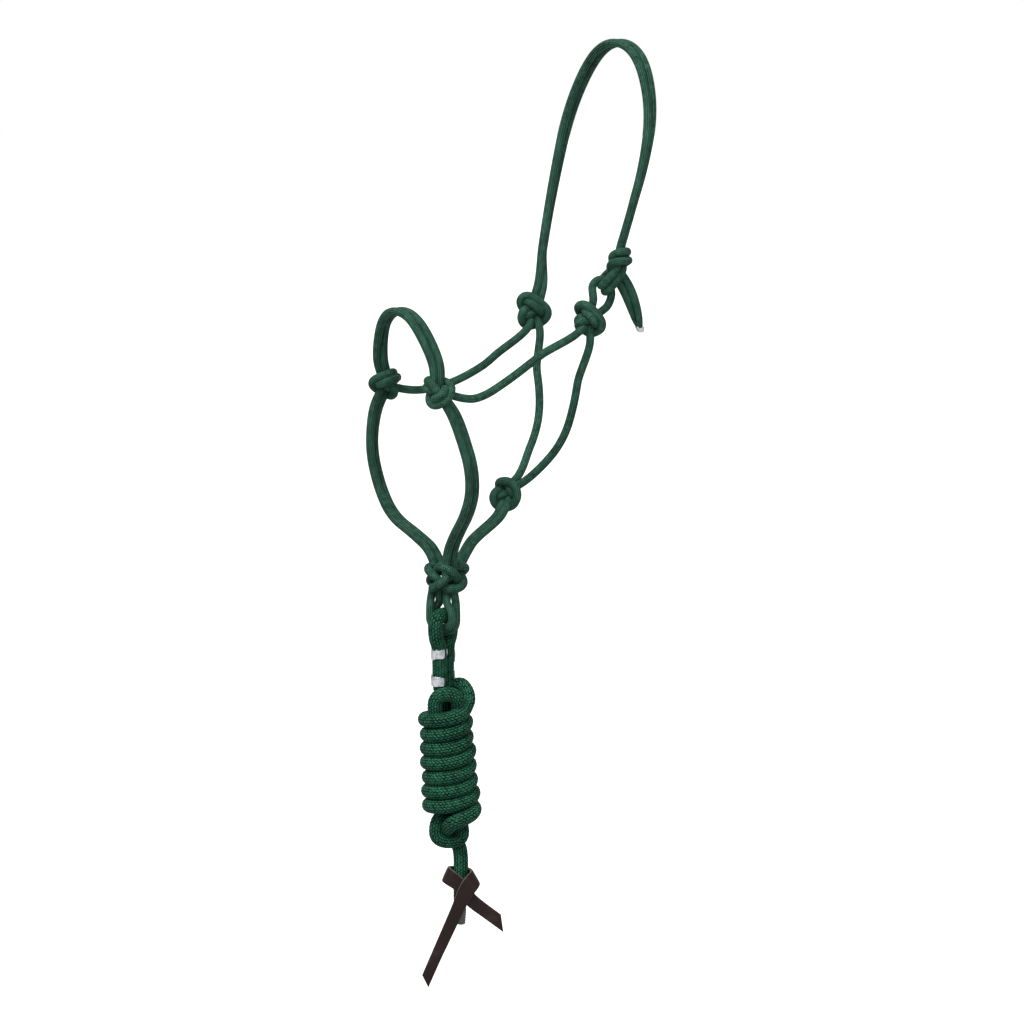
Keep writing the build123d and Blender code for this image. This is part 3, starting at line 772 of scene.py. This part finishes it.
# ---- Fiador knot: a woven band of one strand, three leads and four bights, round all the others ----
WEAVE_LEADS = 3
WEAVE_BIGHTS = 4
FIADOR_TURN = 60
FIADOR_START = 0.8
FIADOR_WEAVE = 0.0036
FIADOR_HALF_WIDTH = 0.0142
FIADOR_HALF_DEPTH = 0.0105
FIADOR_HALF_HEIGHT = 0.0100


def fiador_band():
    """The band's closed line, laid with its crossings over and under by turns."""
    centre = np.array(FIADOR)
    right, up, towards = facing(FIADOR_TURN)
    t = np.linspace(0, 2 * math.pi, 420)
    reach = FIADOR_WEAVE * np.sin(2 * WEAVE_BIGHTS * t)
    around = WEAVE_LEADS * t + FIADOR_START
    height = FIADOR_HALF_HEIGHT * np.sin(WEAVE_BIGHTS * t) * (1 + 0.10 * np.sin(3 * t + 1.0))
    lines = (FIADOR_HALF_WIDTH + reach) * np.cos(around), (FIADOR_HALF_DEPTH + reach) * np.sin(around), height
    return centre + lines[0][:, None] * right + lines[1][:, None] * towards + lines[2][:, None] * up


made["fiador_knot"] = [rope_rings(fiador_band(), HALTER_ROPE, HALTER_BRAID)]

# ---- Loops under the fiador knot ----
LOOP_TOPS = (-0.0126, -0.0042, 0.0042, 0.0126)
LOOP_TOP_Z = -0.5138
LOOP_HALF_WIDTH = 0.0118
LOOP_STEP = 0.00425


def lead_loop(side, foot_z):
    """One hanging loop: the front one has side 1 and the rear one, the other way round, side -1."""
    route = [
        (LOOP_TOPS[0] * 0.8, 0, LOOP_TOP_Z + 0.012), (LOOP_TOPS[0], 0, LOOP_TOP_Z),
        (-LOOP_HALF_WIDTH, LOOP_STEP, LOOP_TOP_Z - 0.0095),
        (-LOOP_HALF_WIDTH, LOOP_STEP, foot_z), (LOOP_HALF_WIDTH, LOOP_STEP, foot_z),
        (LOOP_HALF_WIDTH, LOOP_STEP, LOOP_TOP_Z - 0.0137),
        (LOOP_TOPS[2] + 0.0014, LOOP_STEP, LOOP_TOP_Z - 0.0058), (LOOP_TOPS[2], 0, LOOP_TOP_Z),
        (LOOP_TOPS[2] * 0.8, 0, LOOP_TOP_Z + 0.012),
    ]
    return smooth_line([hanging(side * a, side * b, z, LOOP_TURN) for a, b, z in route])


made["front_lead_loop"] = [rope_rings(lead_loop(1, -0.5431), HALTER_ROPE, HALTER_BRAID)]
made["rear_lead_loop"] = [rope_rings(lead_loop(-1, -0.5475), HALTER_ROPE, HALTER_BRAID)]

bodies = frame["record"]["behaviour"]["bodies"]
body_of_node = {node: body for body, nodes in bodies.items() for node in nodes}
for node, stretches in made.items():
    halter_piece(f"{node}_rope", stretches, body_of_node[node], node)

# ---- The lead: its short end up through both crimps, the eye, and the wound part ----
LEG = 0.00715  # each leg of the eye stands this far from the lead's middle
EYE_HALF = 0.0157
EYE_TOP = -0.5315
TAIL_ACROSS = 0.0163  # where the lead's tail hangs
TAIL_BEFORE = -0.002
eye_route = [
    (0, -LEG, -0.6045), (0, -LEG, -0.590), (0, -LEG, -0.5615), (0, -EYE_HALF, -0.551),
    (0, -EYE_HALF, EYE_TOP), (0, EYE_HALF, EYE_TOP), (0, EYE_HALF, -0.551), (0, LEG, -0.5615),
    (0, LEG, -0.590),
]
core_route = [
    (-0.0025, 0.0055, -0.603), (0.0035, -0.005, -0.611), (0.0035, -0.005, -0.624), (0.001, -0.003, -0.665),
    (0.001, -0.003, -0.704), (0.0022, -0.001, -0.720), (-0.0068, 0.002, -0.7285), (-0.0068, 0.002, -0.7468),
    (0.0176, 0.002, -0.7468), (0.0172, 0.002, -0.730), (0.0118, 0.002, -0.717), (0.0125, 0.002, -0.700),
    (0.0125, 0.002, -0.665), (0.0125, 0.003, -0.640),
]
curl_route = [
    (0.014, 0.006, -0.626), (0.0145, 0.012, -0.6052), (-0.0075, 0.014, -0.6052), (-0.0080, 0.011, -0.6270),
    (0.004, 0.003, -0.6305), (0.011, -0.004, -0.627), (0.013, -0.012, -0.616), (0.0095, -0.012, -0.601),
    (0.018, -0.006, -0.5975), (0.0250, 0.001, -0.6100),
]
WRAPS = 7
WRAP_POINTS = 16  # points for each turn
WRAP_TOP = -0.6190
WRAP_PITCH = 0.013595
FRONT_FALL = 0.0118  # how far a turn comes down over its front half, from right to left
WRAP_MIDDLE = (0.0016, 0.0083)  # the wraps' middle across the view, at the top and at the foot
WRAP_HALF_WIDTH = (0.0187, 0.0215)
WRAP_HALF_DEPTH = 0.0185


def wrap_point(turns):
    """A point of the wound rope after so many turns, counted from its right side towards the front."""
    whole = math.floor(turns)
    part = turns - whole
    back_fall = WRAP_PITCH - FRONT_FALL
    # Each turn drops soon after its right end and then lies nearly level
    fall = FRONT_FALL * (1 - (1 - min(part, 0.5) * 2) ** 2.6) + back_fall * max(part - 0.5, 0) * 2
    down = turns / (WRAPS + 0.5)
    middle = WRAP_MIDDLE[0] + down * (WRAP_MIDDLE[1] - WRAP_MIDDLE[0])
    half_width = WRAP_HALF_WIDTH[0] + down * (WRAP_HALF_WIDTH[1] - WRAP_HALF_WIDTH[0])
    angle = 2 * math.pi * part
    uneven = 0.0007 * math.sin(2.3 * turns + 0.6)  # hand-wound turns are never quite alike
    return hanging(middle + (half_width + uneven) * math.cos(angle), WRAP_HALF_DEPTH * math.sin(angle),
                   WRAP_TOP - whole * WRAP_PITCH - fall + 0.5 * uneven)


wound_route = [wrap_point(k / WRAP_POINTS) for k in range(1, WRAPS * WRAP_POINTS)]
end_route = [
    (0.0300, 0.006, -0.7150), (0.0270, 0.0155, -0.7190), (0.017, 0.021, -0.7230),
    (0.0080, 0.0195, -0.7268), (0.0045, 0.009, -0.7325), (0.0035, -0.003, -0.7372),
    (0.0070, -0.0105, -0.7425), (0.0150, -0.008, -0.7530), (0.0165, -0.004, -0.764),
    (TAIL_ACROSS, TAIL_BEFORE, -0.775), (TAIL_ACROSS, TAIL_BEFORE, -0.790),
    (TAIL_ACROSS, TAIL_BEFORE, -0.8085),
]
lead_route = [hanging(*place, LOOP_TURN) for place in eye_route]
lead_route += [hanging(*place) for place in core_route + curl_route]
lead_route += wound_route + [hanging(*place) for place in end_route]
lead_line = smooth_line(lead_route)
lead_rings = rope_rings(lead_line, LEAD_FULL, LEAD_BRAID, rounded=(True, False))
lead = braided_mesh("lead_rope", [lead_rings], LEAD_BRAID)
finish_piece(lead, "lead", "lead_rope", "lead_eye", "lead_hank", "lead_tail", materials=[LEAD_GREEN])


# ---- Solid pieces: strips for the crimps and the leather, rings for the ferrule and the sleeve ----
def smooth_object(name, work):
    """The finished, smooth object of a bmesh."""
    bmesh.ops.recalc_face_normals(work, faces=work.faces)
    mesh = bpy.data.meshes.new(name)
    work.to_mesh(mesh)
    work.free()
    mesh.shade_smooth()
    solid = bpy.data.objects.new(name, mesh)
    bpy.context.scene.collection.objects.link(solid)
    return solid


def ringed(name, rings):
    """A closed solid through rings of points, with flat ends."""
    work = bmesh.new()
    corners = [[work.verts.new(p) for p in ring] for ring in rings]
    around = len(corners[0])
    for one, other in zip(corners, corners[1:]):
        for k in range(around):
            work.faces.new((one[k], one[(k + 1) % around], other[(k + 1) % around], other[k]))
    work.faces.new(corners[0])
    work.faces.new(corners[-1])
    return smooth_object(name, work)


COLUMNS = 8  # faces across a strip


def strip(name, first, second, thickness, crown, bevel):
    """A strip of even thickness between two edge lines, its face crowned a little; rows run along it."""
    run = np.gradient((first + second) / 2, axis=0)
    out = np.cross(second - first, run)
    out /= np.linalg.norm(out, axis=1)[:, None]
    share = np.linspace(0, 1, COLUMNS + 1)
    bow = crown * np.sin(np.pi * share)
    middle = first[:, None] * (1 - share)[None, :, None] + second[:, None] * share[None, :, None]
    front = middle + out[:, None] * (thickness / 2 + bow)[None, :, None]
    back = middle - out[:, None] * (thickness / 2 - bow)[None, :, None]
    ring = np.concatenate([front, back[:, ::-1]], axis=1)
    around = ring.shape[1]
    work = bmesh.new()
    corners = [[work.verts.new(p) for p in row] for row in ring]
    for one, other in zip(corners, corners[1:]):
        for k in range(around):
            face = work.faces.new((one[k], one[(k + 1) % around], other[(k + 1) % around], other[k]))
            face.material_index = 1 if k in (COLUMNS, around - 1) else 0
    for row, order in ((corners[0], -1), (corners[-1], 1)):
        for k in range(COLUMNS):
            face = work.faces.new((row[k], row[k + 1], row[around - 2 - k], row[around - 1 - k])[::order])
            face.material_index = 1
    made_strip = smooth_object(name, work)
    round_off = made_strip.modifiers.new("edges", "BEVEL")
    round_off.width = bevel
    round_off.segments = 2
    round_off.limit_method = "ANGLE"
    round_off.angle_limit = math.radians(50)
    round_off.harden_normals = False
    return made_strip


# ---- Crimps: a soft metal strip pressed round both legs of the eye ----
CRIMP_HEIGHT = 0.0114
CRIMP_WALL = 0.0013
CRIMP_REACH = 0.0070  # pressed into the rope to a little under its own thickness
CRIMP_ROUND = 0.90  # the strip goes this far round both legs
GROOVE = 0.0032  # how far its first end is pressed in between the legs


def crimp(name, node, middle_z, slant, roll):
    """One crimp; slant tips its ends over, and roll is where its dents lie."""
    across, before, bottom, top = [], [], [], []
    for k in range(121):
        s = CRIMP_ROUND * k / 120
        angle = 2 * math.pi * s
        # From the groove on the right round the front leg, the left side and the rear leg
        x = CRIMP_REACH * math.cos(angle)
        y = CRIMP_REACH * math.sin(angle) + LEG * max(-1.0, min(1.0, 3.2 * math.sin(angle)))
        tuck = math.exp(-((s / 0.045) ** 2))
        dent = 0.00025 * math.sin(9 * angle + roll) + 0.0002 * math.sin(17 * angle + 2 * roll)
        across.append(x - GROOVE * tuck + dent * math.cos(angle))
        before.append(y + dent * math.sin(angle) + (0.0004 if s < 0.5 else -0.0004))
        ending = min(1.0, min(s, CRIMP_ROUND - s) / 0.05)
        narrow = 0.0018 * (1 - math.sqrt(1 - (1 - ending) ** 2))
        wave = 0.0003 * math.sin(5 * angle + roll)
        bottom.append(middle_z - CRIMP_HEIGHT / 2 + narrow + wave + slant[0] * math.cos(angle / 2))
        top.append(middle_z + CRIMP_HEIGHT / 2 - narrow + wave + slant[1] * math.cos(angle / 2))
    low = np.array([hanging(a, b, z, LOOP_TURN) for a, b, z in zip(across, before, bottom)])
    high = np.array([hanging(a, b, z, LOOP_TURN) for a, b, z in zip(across, before, top)])
    piece = strip(name, low, high, CRIMP_WALL, crown=0.00035, bevel=0.0004)
    return finish_piece(piece, "lead", "crimp", node, materials=[BRIGHT, BRIGHT])


upper_crimp = crimp("upper_crimp_strip", "upper_crimp", -0.5687, (0.0034, 0.0003), 0.7)
lower_crimp = crimp("lower_crimp_strip", "lower_crimp", -0.5921, (0.0, -0.0032), 2.1)

# ---- Ferrule on the two tails ----
FERRULE_TOP = laid(TIE, (20.0, -55.5, -7))
FERRULE_FOOT = laid(TIE, (21.4, -61.5, -8))
FERRULE_HALF_WIDTH = 0.0042
FERRULE_HALF_DEPTH = 0.0036


FERRULE_SIDES = 48
# How far down the cap, and its width there as a share of its full width
FERRULE_PROFILE = [(0.0, 0.93), (0.04, 1.0), (0.35, 0.98), (0.62, 0.90), (0.85, 0.72), (0.96, 0.48)]


def ferrule():
    """A thin oval cap, wider at its top, that closes under the two rope ends."""
    right, _, towards = facing(VIEW_TURN)
    angles = np.linspace(0, 2 * math.pi, FERRULE_SIDES, endpoint=False)
    rings = []
    for down, share in FERRULE_PROFILE:
        centre = FERRULE_TOP + down * (FERRULE_FOOT - FERRULE_TOP)
        wide = FERRULE_HALF_WIDTH * share * np.cos(angles)
        flattened = 1 - 0.06 * np.cos(2 * angles) ** 2
        deep = FERRULE_HALF_DEPTH * share * flattened * np.sin(angles)
        rings.append(centre + wide[:, None] * right + deep[:, None] * towards)
    cap = ringed("ferrule_cap", rings)
    return finish_piece(cap, "crown_tails", "ferrule", "tail_ferrule", materials=[BRIGHT])


ferrule()

# ---- Whipping: a sleeve shrunk over the lead's free end ----
WHIPPING_TOP = -0.8050
WHIPPING_FOOT = -0.8280
WHIPPING_STEPS = 60
WHIPPING_SIDES = 40
WHIPPING_RIBS = 9


def whipping():
    """The sleeve: a lathe profile with shallow ribs, flared at its top and rounded at its foot."""
    rings = []
    for k in range(WHIPPING_STEPS + 1):
        s = k / WHIPPING_STEPS
        z = WHIPPING_TOP + s * (WHIPPING_FOOT - WHIPPING_TOP)
        radius = 0.0053 - 0.0009 * s + 0.00022 * math.sin(s * 2 * math.pi * WHIPPING_RIBS)
        if s > 0.93:
            radius *= math.sqrt(max(0.02, 1 - ((s - 0.93) / 0.07) ** 2))
        if s < 0.05:
            radius += 0.0012 * (1 - s / 0.05)
        ring = []
        for turn in range(WHIPPING_SIDES):
            angle = 2 * math.pi * turn / WHIPPING_SIDES
            lump = 1 + 0.03 * math.sin(3 * angle + 5 * s) + 0.02 * math.sin(7 * angle - 9 * s)
            ring.append(hanging(TAIL_ACROSS + radius * lump * math.cos(angle),
                                TAIL_BEFORE + radius * lump * math.sin(angle), z))
        rings.append(ring)
    piece = ringed("whipping_sleeve", rings)
    return finish_piece(piece, "lead", "whipping", "lead_end_whipping", materials=[SLEEVE])


sleeve = whipping()

# ---- Popper: one strap hitched round the rope, its long leg in front of its short leg ----
STRAP_THICKNESS = 0.0026
# Pairs of edge points, in mm across, before and up, from the long tip round the rope to the short tip
STRAP_ROWS = [
    ((-20.4, 8, -874.4), (-14.4, 8, -886.4)), ((-13, 8.2, -857), (-3.4, 8.2, -861)),
    ((-5.2, 8.5, -838.6), (5.2, 8.5, -842.9)), ((4.4, 9.5, -816), (15.5, 9.5, -820.5)),
    ((8.9, 11, -805), (20.8, 11, -809)), ((15, 12, -788), (27.5, 11.5, -797)),
    ((22, 10, -778.5), (33.5, 9, -790)), ((27, 1, -775.5), (34, 0, -787.5)),
    ((24, -8, -774.5), (28, -9.5, -786.5)), ((16, -12, -773.5), (16.5, -12.5, -785.5)),
    ((8, -10, -773), (3, -10.5, -785)), ((4.5, -1, -772), (-1.5, -1.5, -785.5)),
    ((8, 7.5, -773), (1.5, 7, -787)), ((18, 8.2, -781), (10.5, 8.2, -792)),
    ((25.5, 8, -789.5), (18, 8, -800)), ((29, 7, -796), (21, 7, -806.5)),
    ((33, 5, -800.5), (26, 5, -811.5)), ((43, 4.5, -808.5), (36.5, 4.5, -819)),
    ((54.3, 4, -816.9), (56.7, 4, -834)),
]
strap_first = smooth_line([hanging(a * MM, b * MM, z * MM) for (a, b, z), _ in STRAP_ROWS])
strap_second = smooth_line([hanging(a * MM, b * MM, z * MM) for _, (a, b, z) in STRAP_ROWS])
popper = strip("popper_leather", strap_first, strap_second, STRAP_THICKNESS, crown=0.0003, bevel=0.0005)
finish_piece(popper, "popper", "leather", "popper_strap", materials=[LEATHER, LEATHER_EDGE])

# ---- Floor, light and camera ----
FLOOR_Z = -1.02


def floor_material(name):
    n = Nodes(name)
    shade = n.ramp(n.noise(2.0, 2.0), (0.0, (0.49, 0.49, 0.49)), (1.0, (0.51, 0.51, 0.51)))
    return n.set(Base_Color=shade, Roughness=1.0, Specular_IOR_Level=0.0)


bpy.ops.mesh.primitive_circle_add(vertices=96, radius=60.0, fill_type="NGON", location=(0, 0, FLOOR_Z))
floor = bpy.context.object
floor.name = "floor"
floor.data.materials.append(floor_material("pale floor"))

world = bpy.data.worlds.new("bright room")
world.use_nodes = True
world.node_tree.nodes["Background"].inputs["Color"].default_value = (1.0, 1.0, 1.0, 1.0)
world.node_tree.nodes["Background"].inputs["Strength"].default_value = 1.0
bpy.context.scene.world = world


def lamp(name, place, target, size, power):
    """A soft square lamp at a place, aimed at a target."""
    light = bpy.data.lights.new(name, "AREA")
    light.size = size
    light.energy = power
    holder = bpy.data.objects.new(name, light)
    holder.location = place
    holder.rotation_euler = (Vector(target) - Vector(place)).to_track_quat("-Z", "Y").to_euler()
    bpy.context.scene.collection.objects.link(holder)
    return holder


middle = (0.0, -0.12, -0.42)
lamp("key", (3.0, -0.7, 1.9), middle, 0.8, 70.0)
lamp("fill", (1.5, -2.6, 0.6), middle, 1.4, 14.0)

daylight = bpy.data.lights.new("daylight", "SUN")
daylight.energy = 6.5
daylight.angle = math.radians(30)
sun = bpy.data.objects.new("daylight", daylight)
sun.rotation_euler = (math.radians(28), math.radians(18), 0)
bpy.context.scene.collection.objects.link(sun)

CAMERA_PLACE = Vector((3.43524, -2.09852, -0.02122))
CAMERA_TARGET = Vector((-0.009886, -0.109474, -0.43933))
camera = bpy.data.objects.new("camera", bpy.data.cameras.new("camera"))
camera.data.lens = 148.03
camera.data.sensor_width = 36.0
camera.data.clip_end = 200.0
camera.location = CAMERA_PLACE
camera.rotation_euler = (CAMERA_TARGET - CAMERA_PLACE).to_track_quat("-Z", "Y").to_euler()
bpy.context.scene.collection.objects.link(camera)
bpy.context.scene.camera = camera
bpy.context.scene.view_settings.view_transform = "Standard"
